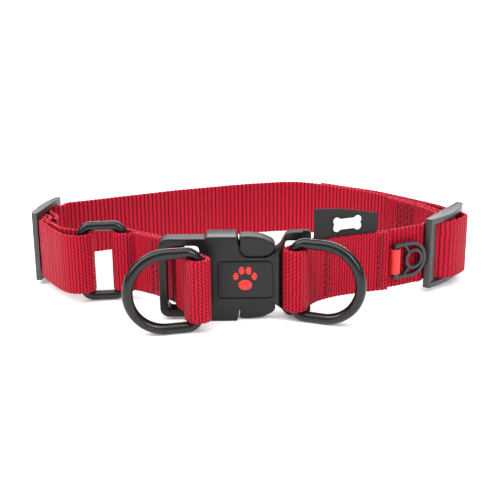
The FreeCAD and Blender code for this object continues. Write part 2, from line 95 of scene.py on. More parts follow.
def rounded(corners, steps=6):
    """An outline whose corners (x, z, radius) are turned into arcs."""
    line = []
    count = len(corners)
    for n in range(count):
        here = Vector(corners[n][:2])
        before = Vector(corners[n - 1][:2]) - here
        after = Vector(corners[(n + 1) % count][:2]) - here
        radius = corners[n][2]
        turn = before.angle(after)
        if radius < 0.01 or turn > 3.05:
            line.append(here)
            continue
        cut = min(radius / math.tan(turn / 2), 0.48 * before.length, 0.48 * after.length)
        radius = cut * math.tan(turn / 2)
        inwards = (before.normalized() + after.normalized()).normalized()
        middle = here + inwards * radius / math.sin(turn / 2)
        first = here + before.normalized() * cut - middle
        last = here + after.normalized() * cut - middle
        sweep = first.angle_signed(last)
        for step in range(steps + 1):
            line.append(middle + Matrix.Rotation(-sweep * step / steps, 2) @ first)
    return line


def solid(name, outline, near, far, place, *finish):
    """A flat outline drawn in two directions and given a thickness from near to far."""
    shell = bmesh.new()
    front = [shell.verts.new(place(u, v, near)) for u, v in outline]
    rear = [shell.verts.new(place(u, v, far)) for u, v in outline]
    shell.faces.new(front)
    shell.faces.new(list(reversed(rear)))
    count = len(outline)
    for n in range(count):
        shell.faces.new([front[n], rear[n], rear[(n + 1) % count], front[(n + 1) % count]])
    bmesh.ops.recalc_face_normals(shell, faces=shell.faces)
    mesh = bpy.data.meshes.new(name)
    shell.to_mesh(mesh)
    shell.free()
    return added(name, mesh, *finish)


def standing(u, v, depth):
    """Outline seen from the front, thickness to the back."""
    return plan(u, depth, v)


def combine(made, tool, way):
    change = made.modifiers.new(way, "BOOLEAN")
    change.operation = way
    change.object = tool
    change.solver = "EXACT"
    settle(made)
    bpy.data.objects.remove(tool)


def settle(made):
    """Applies every modifier, so that the mesh is final."""
    bpy.context.view_layer.update()
    result = made.evaluated_get(bpy.context.evaluated_depsgraph_get())
    ready = bpy.data.meshes.new_from_object(result)
    made.modifiers.clear()
    made.data = ready


def soften(made, wide, steps=3, angle=32):
    ease = made.modifiers.new("soft edges", "BEVEL")
    ease.width = wide / 1000.0
    ease.segments = steps
    ease.limit_method = "ANGLE"
    ease.angle_limit = math.radians(angle)
    ease.harden_normals = False
    settle(made)
    smooth(made)


def smooth(made, angle=40):
    for face in made.data.polygons:
        face.use_smooth = True
    made.data.set_sharp_from_angle(angle=math.radians(angle))


def box_tool(x0, x1, y0, y1, z0, z1, radius=0.0):
    edge = [(x0, z0, radius), (x1, z0, radius), (x1, z1, radius), (x0, z1, radius)]
    return solid("tool", rounded(edge), y0, y1, standing)


buckle_nylon = moulded("buckle_nylon", (0.006, 0.0061, 0.0066), rough=0.34, grain=5200.0, depth=0.00004,
                       shine=0.34)
upper_edge = [
    (-17.0, 34.5, 0.9), (-5.1, 34.5, 0.8), (-3.9, 28.6, 3.0), (-2.2, 25.8, 2.6), (6.6, 25.7, 6.0),
    (11.6, 29.0, 5.0), (14.2, 34.0, 2.5), (17.0, 34.5, 2.0), (23.9, 34.5, 1.6),
]
buckle_high = 34.5
lower_edge = [(x, buckle_high - z, r) for x, z, r in reversed(upper_edge)]
female = solid("female_buckle_moulding", rounded(upper_edge + lower_edge, 8), -5.5, 5.5, standing,
               buckle_nylon)
soften(female, 1.0, 4, 45)
sleeve_hollow = box_tool(-20.0, 9.4, -3.5, 3.5, 2.2, 32.3)
combine(female, sleeve_hollow, "DIFFERENCE")
webbing_slot = box_tool(13.6, 20.5, -9.0, 9.0, 3.4, 31.1, 1.2)
combine(female, webbing_slot, "DIFFERENCE")
# the end frame is thinner than the sleeve, and open at its outer end
frame_front = [(11.0, -9.0), (11.0, -5.6), (14.2, 0.4), (30.0, 0.4), (30.0, -9.0)]
combine(female, solid("tool", frame_front, -3.0, 38.0, plan), "DIFFERENCE")
frame_opening = box_tool(20.4, 30.0, -3.0, 2.6, -3.0, 38.0)
combine(female, frame_opening, "DIFFERENCE")
badge_x = -2.0
badge_seat = box_tool(badge_x - 11.2, badge_x + 11.2, -9.0, -4.9, 9.45, 25.05, 2.0)
combine(female, badge_seat, "DIFFERENCE")
soften(female, 0.28, 2, 50)
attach(female, "female_side")
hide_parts("female_buckle")

# ---- Badge plate and paw motif --------------------------------------------------------------
# A thin plate of the same nylon pressed into the seat on the front of the waist, with a raised
# paw in soft red rubber moulded onto it.
badge_face = -5.62
plate_edge = [(badge_x - 10.6, 10.05, 1.9), (badge_x + 10.6, 10.05, 1.9),
              (badge_x + 10.6, 24.45, 1.9), (badge_x - 10.6, 24.45, 1.9)]
plate = solid("badge_plate_inset", rounded(plate_edge), badge_face, -4.92, standing, buckle_nylon)
soften(plate, 0.25, 3)
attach(plate, "female_side")
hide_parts("badge_plate")

badge_rubber = moulded("badge_rubber", (0.74, 0.022, 0.015), rough=0.5, grain=3000.0, depth=0.00002)
half_high = buckle_high / 2
paw_toes = [(-3.6, 1.4, 1.05, 1.5), (-1.35, 3.7, 1.1, 1.6), (1.35, 3.7, 1.1, 1.6), (3.6, 1.4, 1.05, 1.5)]
paw_heel = (0.0, -2.1, 2.7, 2.1)
paw = bmesh.new()
for dx, dz, wide, tall in paw_toes + [paw_heel]:
    pad = bmesh.ops.create_uvsphere(paw, u_segments=28, v_segments=14, radius=0.001)
    bmesh.ops.scale(paw, vec=(wide, 0.3, tall), verts=pad["verts"])
    bmesh.ops.translate(paw, vec=plan(badge_x + dx, badge_face, half_high + dz), verts=pad["verts"])
paw_mesh = bpy.data.meshes.new("badge_paw")
paw.to_mesh(paw_mesh)
paw.free()
badge_paw = added("badge_paw", paw_mesh, badge_rubber)
smooth(badge_paw, 80)
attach(badge_paw, "female_side")
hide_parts("badge_motif")

# ---- Male buckle and its release arms --------------------------------------------------------
# The other half of the side-release buckle, in the same nylon: a square frame for the control
# strap, a blade that guides it in, and two sprung arms whose thumb pads stand in the cut-outs.


def melt(made, grain, passes):
    """Rounds a moulding all over, as deeply as the number of passes."""
    fine = made.modifiers.new("fine skin", "REMESH")
    fine.mode = "VOXEL"
    fine.voxel_size = grain / 1000.0
    ease = made.modifiers.new("rounding", "SMOOTH")
    ease.factor = 0.5
    ease.iterations = passes
    settle(made)
    smooth(made, 75)


male_front = 3.6
male_edge = [(-35.5, 1.25, 3.6), (-17.3, 1.25, 0.4), (-17.3, 33.25, 0.4), (-35.5, 33.25, 3.6)]
male = solid("male_buckle_moulding", rounded(male_edge, 8), -male_front, male_front, standing, buckle_nylon)
strap_opening = box_tool(-32.3, -19.7, -9.0, 9.0, 4.15, 30.35, 1.8)
combine(male, strap_opening, "DIFFERENCE")
guide_blade = box_tool(-18.4, -4.2, -1.2, 1.2, 15.1, 19.4, 0.8)
combine(male, guide_blade, "UNION")
melt(male, 0.27, 11)
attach(male, "male_side")
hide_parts("male_buckle")

arm_edge = [
    (-17.2, 9.0, 0.3), (-9.0, 8.9, 1.0), (-3.0, 8.2, 1.0), (4.0, 7.9, 2.0), (8.4, 9.0, 2.0),
    (10.2, 12.6, 2.0), (8.6, 14.6, 3.0), (4.7, 16.4, 5.0), (-0.4, 17.0, 4.0), (-4.3, 16.9, 0.9),
    (-3.9, 12.6, 1.5), (-9.0, 12.2, 2.0), (-17.2, 11.4, 0.3),
]
for word, side in (("upper", 1.0), ("lower", -1.0)):
    edge = rounded([(x, half_high + side * z, r) for x, z, r in arm_edge], 7)
    arm = solid(word + "_arm_moulding", edge, -male_front, male_front, standing, buckle_nylon)
    melt(arm, 0.24, 34)
    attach(arm, word + "_arm")
    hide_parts(word + "_release_arm")


# ---- Leash rings and oval ring -----------------------------------------------------------------
# Welded steel wire bent to shape, with a satin black coating. Each D-ring's straight bar lies in
# a fold of webbing; the oval ring joins the left loop to the control strap.
def bent_wire(name, path, thick, finish, turn, pivot):
    """A closed round wire along (reach, height) points, turned about an upright line at pivot."""
    count = len(path)
    around = 20
    verts = []
    faces = []
    spin = Matrix.Rotation(math.radians(turn), 3, "Z")
    side = Vector((0, 1, 0))
    for n in range(count):
        here = Vector((path[n][0], 0, path[n][1]))
        before, after = path[n - 1], path[(n + 1) % count]
        along = Vector((after[0] - before[0], 0, after[1] - before[1]))
        along.normalize()
        out = along.cross(side)
        for step in range(around):
            angle = 2 * math.pi * step / around
            local = here + (side * math.cos(angle) + out * math.sin(angle)) * thick / 2
            verts.append(pivot + spin @ local / 1000.0)
            this, then = n * around, (n + 1) % count * around
            beside_it = (step + 1) % around
            faces.append((this + step, this + beside_it, then + beside_it, then + step))
    mesh = bpy.data.meshes.new(name)
    mesh.from_pydata(verts, [], faces)
    made = added(name, mesh, finish)
    smooth(made, 80)
    return made


def arc_points(x, z, radius, start, end, steps):
    turned = []
    for step in range(steps + 1):
        angle = math.radians(start + (end - start) * step / steps)
        turned.append((x + radius * math.cos(angle), z + radius * math.sin(angle)))
    return turned


ring_steel = moulded("ring_steel", (0.004, 0.0042, 0.0046), rough=0.27, grain=2600.0, depth=0.00003,
                     shine=0.42)
bow_radius = 14.9
bow_x = 26.9 - bow_radius
corner = 4.6
bar_end = bow_radius - corner
d_line = arc_points(corner, -bar_end, corner, 180, 270, 10) \
    + arc_points(bow_x, 0.0, bow_radius, -90, 90, 60) + arc_points(corner, bar_end, corner, 90, 180, 10)
for name, node, body, x, y, turn in (
    ("left_leash_ring", "left_d_ring", "left_d_ring", -19.6, -15.2, 193.0),
    ("right_leash_ring", "right_d_ring", "right_d_ring", 17.0, -4.2, -22.0),
):
    ring = bent_wire(name, d_line, 4.2, ring_steel, turn, plan(x, y, 17.0))
    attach(ring, body)
    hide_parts(node)

oval_line = []
for x, z, start in ((4.0, -10.9, 180), (12.6, -10.9, 270), (12.6, 10.9, 0), (4.0, 10.9, 90)):
    oval_line += arc_points(x, z, 4.0, start, start + 90, 10)
oval = bent_wire("oval_joining_ring", oval_line, 4.0, ring_steel, 7.0, plan(-68.6, 19.3, 17.0))
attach(oval, "oval_ring")
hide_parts("oval_ring")

# ---- Sliders -------------------------------------------------------------------------------------
# Three-bar sliders pressed from sheet and coated dark grey: two bowed side rails, a wide bar at
# each end and a narrow middle bar that the strap's sewn end is folded round.
slider_coat = moulded("slider_coat", (0.018, 0.0185, 0.021), rough=0.42, grain=1900.0, depth=0.00012,
                      shine=0.8)
left_place = (-89.0, 53.0, 79.0)
right_place = (83.0, 39.6, 236.5)
end_bar = 4.2
for name, node, body, place, long, thin, rise, near_bar in (
    ("left_slider_frame", "left_slider", "left_side", left_place, 28.0, 1.1, 1.7, 3.8),
    ("right_slider_frame", "right_slider", "female_side", right_place, 33.0, 1.5, 2.9, 4.9),
):
    half = long / 2

    def lying(u, v, height):
        x, y, turn = place
        ahead = math.radians(turn)
        return plan(x + u * math.cos(ahead) - v * math.sin(ahead),
                    y + u * math.sin(ahead) + v * math.cos(ahead), height)

    bow = [(-half, -thin), (half, -thin), (half, thin)]
    bow += [(half - long * n / 20, thin + rise * math.sin(math.pi * n / 20)) for n in range(1, 20)]
    bow += [(-half, thin)]
    slider = solid(name, bow, 2.0, 4.3, lying, slider_coat)
    combine(slider, solid("tool", bow, 29.7, 32.0, lying), "UNION")
    for start, end, inner, outer in ((-half, -half + end_bar, -thin, thin), (-1.3, 1.3, 0.0, 2.0),
                                     (half - near_bar, half, -thin, thin)):
        bar = solid("tool", [(start, inner), (end, inner), (end, outer), (start, outer)], 2.2, 31.8, lying)
        combine(slider, bar, "UNION")
    soften(slider, 0.8, 4, 40)
    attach(slider, body)
    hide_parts(node)

# ---- Main straps --------------------------------------------------------------------------------
# 25 mm nylon webbing. The left length runs from the back of the neck over the left slider, round
# the oval ring and back to the slider's middle bar; the right length is sewn round the right one.


def woven(name, pitch_along, pitch_across, stagger, rib, slant):
    """Red nylon yarn: beads in columns across the webbing, or ribs when rib is near one, with painted shade
    darkening the grooves between them.
    """
    made = bpy.data.materials.new(name)
    made.use_nodes = True
    nodes = made.node_tree.nodes
    links = made.node_tree.links
    skin = nodes["Principled BSDF"]

    def sum_of(kind, a, b=0.0):
        step = nodes.new("ShaderNodeMath")
        step.operation = kind
        for socket, value in ((0, a), (1, b)):
            if isinstance(value, float):
                step.inputs[socket].default_value = value
            else:
                links.new(value, step.inputs[socket])
        return step.outputs[0]

    spot = nodes.new("ShaderNodeUVMap")
    split = nodes.new("ShaderNodeSeparateXYZ")
    links.new(spot.outputs["UV"], split.inputs["Vector"])
    wander = nodes.new("ShaderNodeTexNoise")
    wander.inputs["Scale"].default_value = 0.35
    wander.inputs["Detail"].default_value = 1.0
    links.new(spot.outputs["UV"], wander.inputs["Vector"])
    drift = sum_of("MULTIPLY", sum_of("SUBTRACT", wander.outputs["Fac"], 0.5), 0.5)
    along = sum_of("DIVIDE", sum_of("ADD", split.outputs["X"], drift), pitch_along)
    across = sum_of("DIVIDE", sum_of("ADD", split.outputs["Y"], drift), pitch_across)
    odd = sum_of("MULTIPLY", sum_of("FLOORED_MODULO", sum_of("FLOOR", along), 2.0), stagger)
    u = sum_of("MULTIPLY", sum_of("SUBTRACT", sum_of("FRACT", along), 0.5), 2.0)
    across_here = sum_of("ADD", sum_of("ADD", across, odd), sum_of("MULTIPLY", u, slant))
    v = sum_of("MULTIPLY", sum_of("SUBTRACT", sum_of("FRACT", across_here), 0.5), 2.0)
    column = sum_of("SUBTRACT", 1.0, sum_of("MULTIPLY", u, u))
    bead = sum_of("SUBTRACT", 1.0, sum_of("MULTIPLY", v, v))
    height = sum_of("MULTIPLY", column, sum_of("ADD", sum_of("MULTIPLY", bead, 1.0 - rib), rib))
    height = sum_of("POWER", sum_of("MAXIMUM", height, 0.0), 0.85)

    # Colour runs from dark crimson in the grooves to red on the bead tops; the dark end is painted shade, not a
    # second yarn colour.
    groove_shade_ramp = nodes.new("ShaderNodeValToRGB")
    groove_shade_ramp.color_ramp.elements[0].position = 0.12
    groove_shade_ramp.color_ramp.elements[0].color = (0.06, 0.0002, 0.005, 1.0)
    groove_shade_ramp.color_ramp.elements[1].position = 0.85
    groove_shade_ramp.color_ramp.elements[1].color = (0.60, 0.004, 0.028, 1.0)
    links.new(height, groove_shade_ramp.inputs["Fac"])
    links.new(groove_shade_ramp.outputs["Color"], skin.inputs["Base Color"])
    skin.inputs["Roughness"].default_value = 0.52
    skin.inputs["Specular IOR Level"].default_value = 0.14
    skin.inputs["Sheen Weight"].default_value = 0.05
    skin.inputs["Sheen Roughness"].default_value = 0.4
    skin.inputs["Sheen Tint"].default_value = (1.0, 0.3, 0.36, 1.0)
    bump = nodes.new("ShaderNodeBump")
    bump.inputs["Strength"].default_value = 0.9
    bump.inputs["Distance"].default_value = 0.0005
    links.new(height, bump.inputs["Height"])
    links.new(bump.outputs["Normal"], skin.inputs["Normal"])
    return made


beaded_face = woven("webbing_beaded_face", pitch_along=1.22, pitch_across=1.6, stagger=0.5, rib=0.3, slant=0.4)
ribbed_face = woven("webbing_ribbed_face", pitch_along=1.95, pitch_across=0.95, stagger=0.5, rib=0.3, slant=0.5)


def centre_line(points, spacing):
    """A smooth line through the plan points, as evenly spaced places and sideways directions."""
    knots = np.array(points, float)
    gaps = np.hypot(*np.diff(knots, axis=0).T)
    t = np.concatenate([[0.0], np.cumsum(gaps)])
    n = len(t)
    matrix = np.zeros((n, n))
    right = np.zeros((n, 2))
    matrix[0, 0] = matrix[-1, -1] = 1.0
    for i in range(1, n - 1):
        matrix[i, i - 1] = gaps[i - 1]
        matrix[i, i] = 2 * (gaps[i - 1] + gaps[i])
        matrix[i, i + 1] = gaps[i]
        right[i] = 6 * ((knots[i + 1] - knots[i]) / gaps[i]
                        - (knots[i] - knots[i - 1]) / gaps[i - 1])
    bend = np.linalg.solve(matrix, right)
    fine = np.linspace(0, t[-1], int(t[-1] / 0.05) + 1)
    i = np.clip(np.searchsorted(t, fine) - 1, 0, n - 2)
    a = (t[i + 1] - fine)[:, None]
    b = (fine - t[i])[:, None]
    g = gaps[i][:, None]
    line = (bend[i] * a ** 3 + bend[i + 1] * b ** 3) / (6 * g) + (knots[i] / g - bend[i] * g / 6) * a \
        + (knots[i + 1] / g - bend[i + 1] * g / 6) * b
    run = np.concatenate([[0.0], np.cumsum(np.hypot(*np.diff(line, axis=0).T))])
    places = np.linspace(0, run[-1], int(run[-1] / spacing) + 1)
    x = np.interp(places, run, line[:, 0])
    y = np.interp(places, run, line[:, 1])
    slope = np.gradient(np.stack([x, y], 1), axis=0)
    slope /= np.hypot(slope[:, 0], slope[:, 1])[:, None]
    return places, np.stack([x, y], 1), np.stack([-slope[:, 1], slope[:, 0]], 1)


def webbing(name, points, left_finish, right_finish):
    """A woven band standing on its edge along plan points, with ribs, round selvedges and cut ends."""
    low, wide, thick = 4.5, 25.0, 1.7
    rib, pitch = 0.07, 1.95
    places, middle, sideways = centre_line(points, pitch / 5)
    half = thick / 2
    edge = 0.55
    rows = [low + edge + (wide - 2 * edge) * n / 22 for n in range(23)]
    # each place on the section: sideways, height, and whether it is on a selvedge
    top, bottom = low + wide, low
    section = [(half, z, False) for z in rows]
    section += [(half * 0.72, top - edge * 0.35, True), (0.0, top, True),
                (-half * 0.72, top - edge * 0.35, True)]
    section += [(-half, z, False) for z in reversed(rows)]
    section += [(-half * 0.72, bottom + edge * 0.35, True), (0.0, bottom, True),
                (half * 0.72, bottom + edge * 0.35, True)]
    count = len(section)
    verts = []
    wave = np.cos(2 * np.pi * places / pitch)
    drift = 0.12 * np.sin(places / 9.0) + 0.08 * np.sin(places / 3.7 + 1.3)
    for s in range(len(places)):
        for off, z, selvedge in section:
            shift = off + (rib * wave[s] * (1 if off > 0 else -1) if not selvedge else 0.0)
            lift = 0.13 * wave[s] * (1 if z > low + wide / 2 else -1) if selvedge else 0.0
            verts.append(plan(middle[s, 0] + sideways[s, 0] * shift, middle[s, 1] + sideways[s, 1] * shift,
                              z + lift + drift[s] * 0.35))
    faces = []
    for s in range(len(places) - 1):
        for n in range(count):
            faces.append((s * count + n, s * count + (n + 1) % count,
                          (s + 1) * count + (n + 1) % count, (s + 1) * count + n))
    faces.append(tuple(reversed(range(count))))
    faces.append(tuple((len(places) - 1) * count + n for n in range(count)))
    mesh = bpy.data.meshes.new(name)
    mesh.from_pydata(verts, [], faces)
    made = added(name, mesh, left_finish, right_finish)
    laid = mesh.uv_layers.new(name="weave")
    finish = [0] * len(faces)
    spots = np.zeros((len(mesh.loops), 2), np.float32)
    loop = 0
    for number, face in enumerate(faces):
        if 24 <= number % count < 48:
            finish[number] = 1
        for vert in face:
            off, z = section[vert % count][:2]
            spots[loop] = (places[vert // count], z + (abs(off) - half) * 0.6)
            loop += 1
    mesh.polygons.foreach_set("material_index", finish)
    laid.data.foreach_set("uv", spots.ravel())
    smooth(made, 70)
    face_outwards(mesh)
    return made


def face_outwards(mesh):
    turned = bmesh.new()
    turned.from_mesh(mesh)
    bmesh.ops.recalc_face_normals(turned, faces=turned.faces)
    turned.to_mesh(mesh)
    turned.free()


def on_slider(x, y, turn, points):
    """Points along and out from a slider, as plan points."""
    ahead = math.radians(turn)
    return [(x + u * math.cos(ahead) - v * math.sin(ahead),
             y + u * math.sin(ahead) + v * math.cos(ahead)) for u, v in points]


round_bar = [(-5.0, -0.4), (-3.5, 1.9), (-1.8, 3.2), (0.0, 3.65), (1.87, 2.87), (2.65, 1.0), (1.87, -0.87),
             (0.0, -1.65)]
over_left = [(9.9, -3.1), (8.4, -1.5), (7.3, 1.0), (5.4, 3.6), (2.8, 5.3), (0.0, 5.7), (-2.6, 5.2),
             (-5.2, 3.5), (-7.1, 1.0), (-8.4, -1.4), (-9.9, -3.1), (-12.3, -3.25), (-14.6, -3.1)]
left_back = [(-14.8, 94.85), (-20.0, 93.0), (-34.0, 88.0), (-47.0, 82.6), (-57.0, 78.2), (-66.0, 74.0),
             (-73.5, 70.4), (-79.3, 67.9), (-82.9, 65.6)]
left_loop = [(-88.0, 36.0), (-84.3, 29.2), (-80.1, 22.8), (-76.8, 18.2), (-73.2, 15.2), (-70.0, 14.6),
             (-66.8, 15.5), (-65.0, 17.4), (-64.5, 19.8), (-65.4, 22.3), (-67.8, 23.6), (-71.8, 24.2),
             (-76.4, 25.8), (-80.0, 29.2), (-83.4, 34.4)]
left_end = [(-14.6, -5.7), (-11.5, -5.7), (-8.6, -5.1), (-6.6, -2.9)] + round_bar \
    + [(-2.2, -3.2), (-5.2, -6.3), (-8.8, -8.0), (-12.2, -8.2)]
left_line = left_back + on_slider(*left_place, over_left) + left_loop + on_slider(*left_place, left_end)
left_strap = webbing("left_webbing", left_line, ribbed_face, beaded_face)
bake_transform(left_strap)
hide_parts("left_main_strap")

middle_strap = webbing("middle_webbing", [(-15.0, 94.8), (-11.0, 96.15), (-7.5, 97.3), (-3.6, 98.45)],
                       beaded_face, ribbed_face)
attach(middle_strap, "male_side")
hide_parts("middle_back_strap")

right_back = [(-3.7, 98.42), (1.0, 99.7), (7.5, 101.2), (13.5, 102.4), (19.5, 102.8), (25.0, 102.2),
              (29.0, 100.9), (34.0, 98.3), (38.0, 95.8), (43.6, 91.9), (51.0, 86.6), (57.5, 81.0),
              (64.9, 73.6), (72.9, 65.2), (78.3, 57.8)]
right_end = [(-9.4, -8.4), (-7.1, -4.4)] + round_bar + [(-2.0, -3.2), (-4.4, -6.2), (-6.9, -10.0)]
right_line = right_back + on_slider(*right_place, right_end) \
    + [(76.3, 55.8), (71.2, 63.6), (66.6, 68.7), (63.3, 72.0)]
right_strap = webbing("right_webbing", right_line, beaded_face, ribbed_face)
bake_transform(right_strap)
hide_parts("right_main_strap")

# ---- Running strap ---------------------------------------------------------------------------------
# The same webbing, folded round the right leash ring and the female buckle and sewn down, then led
# through the right slider to a free tail along the back, so that the collar can be made larger.
front_fold = [(56.1, 17.3), (52.0, 16.1), (48.0, 14.9), (41.8, 12.7), (36.0, 10.4), (31.0, 7.6), (28.0, 5.6),
              (25.4, 3.1), (23.5, 0.6), (21.7, -2.2), (20.9, -6.2), (17.9, -8.1), (14.4, -6.9), (13.55, -4.2),
              (14.6, -1.6), (16.7, 0.9), (18.6, 4.9), (20.5, 7.6), (24.3, 8.5), (29.8, 10.1), (35.0, 12.8),
              (41.0, 15.2), (47.2, 17.4), (55.0, 19.7), (60.3, 21.9), (66.0, 24.9), (69.0, 26.5)]
over_right = [(16.9, -3.3), (14.6, -3.4), (12.0, -3.2), (10.5, -1.3), (9.2, 1.4), (7.2, 4.2), (4.0, 6.0),
              (0.0, 6.8), (-4.0, 7.1), (-7.6, 6.5), (-9.8, 4.4), (-10.6, 1.6), (-10.9, -1.0), (-11.9, -3.3),
              (-13.9, -5.8)]
tail = [(83.8, 57.9), (76.4, 66.1), (67.2, 76.0), (59.6, 83.5), (52.5, 88.8), (44.9, 93.8), (39.1, 97.5),
        (35.0, 100.1)]
running_line = front_fold + on_slider(*right_place, over_right) + tail
running = webbing("running_webbing", running_line, beaded_face, ribbed_face)
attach(running, "female_side")
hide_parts("running_strap")

# ---- Control strap and its leash ring pocket -------------------------------------------------------
# A shorter doubled length of webbing: it goes round the oval ring, behind and through the male
# buckle's frame, and ends in a fold that holds the left leash ring, so a pull closes the collar.


def beside(points, gap):
    moved = []
    for n, (x, y) in enumerate(points):
        x0, y0 = points[max(n - 1, 0)]
        x1, y1 = points[min(n + 1, len(points) - 1)]
        long = math.hypot(x1 - x0, y1 - y0)
        moved.append((x - (y1 - y0) / long * gap, y + (x1 - x0) / long * gap))
    return moved


control_path = [(-46.4, 19.4), (-43.8, 18.0), (-41.0, 16.1), (-36.8, 12.8), (-33.2, 9.4), (-30.2, 6.3),
                (-28.2, 3.6), (-27.35, 1.6), (-27.3, 0.15)]
round_oval = [(-48.8, 23.4), (-52.4, 25.2), (-55.1, 23.6), (-55.9, 21.0), (-54.5, 18.5), (-51.9, 17.6),
              (-49.4, 17.8)]
control_line = list(reversed(beside(control_path, 1.05))) + round_oval + beside(control_path, -1.05)
control = webbing("control_webbing", control_line, ribbed_face, beaded_face)
bend_from, bend_to = plan(-43.0, 17.0, 17), plan(-29.0, 2.0, 17)
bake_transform(control)
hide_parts("control_strap")

pocket_line = [(-28.35, 0.3), (-28.3, -1.3), (-27.75, -2.9), (-26.5, -4.7), (-25.35, -6.8), (-24.75, -9.6),
               (-24.5, -12.6), (-23.95, -15.9), (-21.8, -18.7), (-18.9, -19.25), (-16.5, -17.8),
               (-15.75, -14.9), (-17.1, -12.2), (-20.2, -8.6), (-23.4, -5.0), (-25.8, -2.4), (-26.25, 0.3)]
pocket = webbing("leash_ring_fold", pocket_line, ribbed_face, beaded_face)
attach(pocket, "leash_pocket")
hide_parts("leash_ring_pocket")

# ---- Stitching ---------------------------------------------------------------------------------------
# Bonded polyester thread, much darker red than the webbing: rows of lockstitch across the folds,
# each stitch pulled down into the weave at both ends.
thread = moulded("sewing_thread", (0.09, 0.001, 0.009), rough=0.6, grain=3000.0, depth=0.00004)


def stitching(name, node, body, line, rows, side):
    """Rows of stitches on one face of a webbing line: each is a place, a height, a length and a lean."""
    thick, rise = 0.55, 0.12
    face = 0.85 + 0.07 + rise
    middle, sideways = centre_line(line, 0.2)[1:]
    sewn = bmesh.new()
    for row in rows:
        for (x, y), height, long, lean in row:
            near = int(np.argmin(np.hypot(middle[:, 0] - x, middle[:, 1] - y)))
            out = Vector((*sideways[near], 0.0)) * side
            along = Vector((sideways[near][1], -sideways[near][0], 0.0))
            up = (Vector((0, 0, 1)) * math.cos(lean) + along * math.sin(lean))
            across = up.cross(out)
            centre = plan(middle[near, 0], middle[near, 1], height) + out * face / 1000
            rings = []
            for n in range(7):
                share = n / 6
                sag = (2 * share - 1) ** 4 * 0.32
                girth = thick / 2 * (1.0 - 0.55 * (2 * share - 1) ** 4)
                at_here = centre + up * (share - 0.5) * long / 1000 - out * sag / 1000
                rings.append([
                    sewn.verts.new(at_here + (across * math.cos(a) + out * math.sin(a)) * girth / 1000)
                    for a in (2 * math.pi * k / 8 for k in range(8))])
            for this, then in zip(rings, rings[1:]):
                for k in range(8):
                    sewn.faces.new((this[k], this[(k + 1) % 8], then[(k + 1) % 8], then[k]))
            sewn.faces.new(list(reversed(rings[0])))
            sewn.faces.new(rings[-1])
    bmesh.ops.recalc_face_normals(sewn, faces=sewn.faces)
    mesh = bpy.data.meshes.new(name)
    sewn.to_mesh(mesh)
    sewn.free()
    made = added(name, mesh, thread)
    smooth(made, 80)
    if isinstance(body, str):
        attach(made, body)
    else:
        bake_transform(made)
    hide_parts(node)


def upright_row(x, y, first=7.0):
    """Nine stitches one above the other, counted up from the first."""
    return [((x, y), first + 2.5 * n, 2.0, 0.0) for n in range(9)]


second_row = 8.2
front_rows = [upright_row(29.4, 6.6), upright_row(31.3, 7.8, second_row),
              upright_row(52.0, 16.1), upright_row(53.7, 16.6, second_row)]
stitching("front_fold_stitching", "front_fold_stitches", "female_side", running_line, front_rows, 1)
control_rows = [upright_row(-49.6, 18.3), upright_row(-38.6, 13.3), upright_row(-36.9, 12.0, second_row)]
stitching("control_stitching", "control_strap_stitches",
          ("left_side", "male_side", bend_from, bend_to), control_line, control_rows, -1)
zigzag = []
for n in range(8):
    for share, lean in ((0.0, 0.5), (0.5, -0.5)):
        height = 7.5 + 2.7 * (n + share)
        zigzag.append(((72.9 - 3.1 * share, 61.6 + 3.6 * share), height, 2.6, lean))
        zigzag.append(((70.4 - 3.1 * share, 64.6 + 3.6 * share), height, 2.6, -lean))
stitching("back_stub_stitching", "right_stub_stitches", "female_side", right_line,
          [zigzag, upright_row(73.4, 61.0), upright_row(67.6, 67.7)], 1)

# ---- Folded label ------------------------------------------------------------------------------------
# A black woven label folded over the strap's top edge and caught in the seam, with a plain white
# bone woven into it.
label_cloth = moulded("label_cloth", (0.012, 0.012, 0.013), rough=0.85, grain=2600.0, depth=0.00012)
label_line = [(25.2, 5.6), (28.0, 7.2), (30.5, 8.65), (35.6, 11.4), (41.45, 13.83), (47.6, 16.04),
              (51.2, 17.15)]


def thin_band(name, line, low, wide, thick, finish, lean=0.0, ripple=0.0, crown=0.0, start_lift=0.0,
              end_lift=0.0):
    """A thin strip standing on edge. Its top can lean outwards, ripple, arch, or rise at either end."""
    places, middle, sideways = centre_line(line, 0.4)
    rows = 14
    verts = []
    for s in range(len(places)):
        share = places[s] / places[-1]
        for face in (1, -1):
            for n in range(rows):
                up = n / (rows - 1)
                height = low + wide * up + up * (start_lift * (1 - share) + end_lift * share)
                if up > 0.6:
                    height += (up - 0.6) / 0.4 * crown * math.sin(math.pi * share)
                off = face * thick / 2 - lean * up ** 2 + ripple * up * math.sin(share * 5.0 + 0.6)
                verts.append(plan(middle[s, 0] + sideways[s, 0] * off,
                                  middle[s, 1] + sideways[s, 1] * off, height))
    faces = []
    step = rows * 2
    for s in range(len(places) - 1):
        for n in range(rows - 1):
            a = s * step + n
            faces.append((a, a + 1, a + step + 1, a + step))
            b = a + rows
            faces.append((b, b + step, b + step + 1, b + 1))
        for n in (0, rows - 1):
            a = s * step + n
            faces.append((a, a + step, a + step + rows, a + rows))
    for s in (0, len(places) - 1):
        for n in range(rows - 1):
            a = s * step + n
            faces.append((a, a + 1, a + rows + 1, a + rows))
    mesh = bpy.data.meshes.new(name)
    mesh.from_pydata(verts, [], faces)
    made = added(name, mesh, finish)
    face_outwards(mesh)
    smooth(made, 60)
    return made


label = thin_band("folded_label", label_line, 25.2, 14.0, 0.5, label_cloth, lean=0.2, ripple=0.5, crown=0.5,
                  start_lift=3.0, end_lift=-1.6)
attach(label, "female_side")
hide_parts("label")

label_thread = moulded("label_thread", (0.82, 0.82, 0.80), rough=0.8, grain=2600.0, depth=0.00012)
bone_outline = []
for x, z, start in ((4.6, -1.35, -150), (4.6, 1.35, -60), (-4.6, 1.35, 30), (-4.6, -1.35, 120)):
    bone_outline += arc_points(x, z, 1.6, start, start + 210, 12)
bone_turn = math.radians(22.0)


